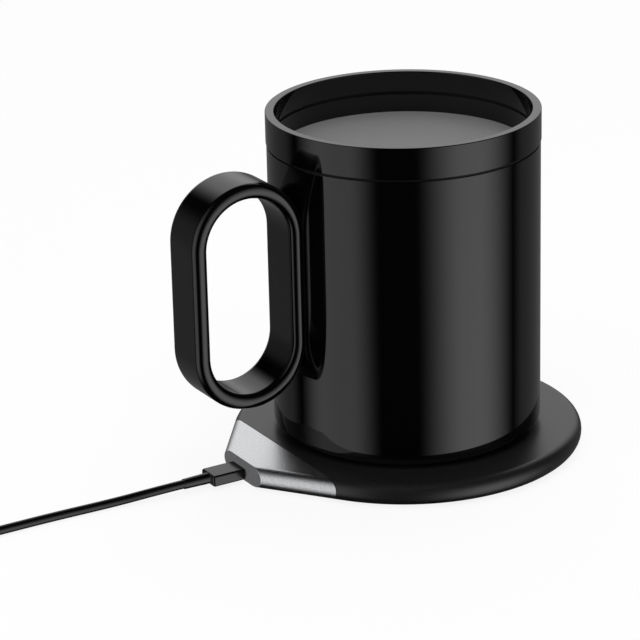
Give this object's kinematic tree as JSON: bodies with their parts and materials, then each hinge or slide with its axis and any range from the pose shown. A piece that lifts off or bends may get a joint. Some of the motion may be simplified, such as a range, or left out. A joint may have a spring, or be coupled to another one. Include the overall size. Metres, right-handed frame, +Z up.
{
  "type": "electric mug warmer",
  "caption": "Thin round warming pad with a metal corner and a USB lead, carrying a straight-sided double-walled mug with a long loop handle.",
  "frame": {"origin": "on the desk, under the centre of the round warming pad and the mug's axis", "axes": "+Z up along the mug's axis; the metal nose, the mug's handle and the cable point along -X"},
  "size_m": [0.2559, 0.135, 0.1089],
  "materials": {
    "pad_plastic": "moulded ABS, fine satin grain",
    "nose_aluminium": "bead-blasted aluminium",
    "silicone": "soft matt silicone",
    "screw_steel": "zinc-plated steel",
    "coil_copper": "enamelled copper wire, wound flat",
    "ferrite": "sintered ferrite",
    "board_laminate": "glass-filled laminate with green resist",
    "chip_resin": "moulded epoxy",
    "capacitor_ceramic": "ceramic with tinned ends",
    "plug_steel": "nickel-plated steel",
    "contact_plastic": "moulded black plastic with contacts",
    "mug_lacquer": "gloss black lacquer on drawn steel",
    "liner_enamel": "gloss black enamel on drawn steel",
    "handle_gloss": "polished black moulding",
    "carrier_plastic": "heat-proof moulding",
    "insulation_felt": "needled ceramic felt",
    "heater_film": "polyimide film",
    "heater_aluminium": "milled aluminium",
    "sensor_epoxy": "epoxy bead",
    "cable_jacket": "smooth black thermoplastic jacket",
    "plug_plastic": "satin black overmould",
    "tie_strap": "woven hook-and-loop strap"
  },
  "bodies": {
    "base": {"base_housing": "pad_plastic", "corner_trim": "nose_aluminium", "bottom_cover": "pad_plastic", "foot_pad": "silicone", "cover_screws": "screw_steel", "power_coil": "coil_copper", "ferrite_disc": "ferrite", "circuit_board": "board_laminate", "board_screws": "screw_steel", "driver_chips": "chip_resin", "power_inductor": "chip_resin", "capacitors": "capacitor_ceramic", "coil_leads": "coil_copper", "usb_socket": "plug_steel", "socket_tongue": "contact_plastic"},
    "mug": {"mug_shell": "mug_lacquer", "rim_ring": "mug_lacquer", "rim_seal": "silicone", "mug_liner": "liner_enamel", "handle_loop": "handle_gloss", "handle_screws": "screw_steel", "foot_cover": "handle_gloss", "mug_foot_ring": "silicone", "foot_gasket": "silicone", "receiver_coil": "coil_copper", "receiver_ferrite": "ferrite", "mug_board": "board_laminate", "mug_board_screws": "screw_steel", "mug_chips": "chip_resin", "heater_carrier": "carrier_plastic", "carrier_screws": "screw_steel", "insulation_disc": "insulation_felt", "heater_film": "heater_film", "heater_plate": "heater_aluminium", "temperature_sensor": "sensor_epoxy"},
    "cable": {"plug_body": "plug_plastic", "plug_tip": "plug_steel", "plug_boot": "cable_jacket", "cord": "cable_jacket", "cord_coil": "cable_jacket", "coil_tie": "tie_strap", "cord_tail": "cable_jacket", "usb_boot": "cable_jacket", "usb_body": "plug_plastic", "usb_tip": "plug_steel", "usb_tongue": "contact_plastic"}
  },
  "joints": [
    {"name": "mug_lift", "type": "slide", "parent": "base", "child": "mug", "axis": [0, 0, 1], "range_m": [0, 0.12]},
    {"name": "plug_pull", "type": "slide", "parent": "base", "child": "cable", "axis": [-1, 0, 0], "range_m": [0, 0.02]}
  ]
}
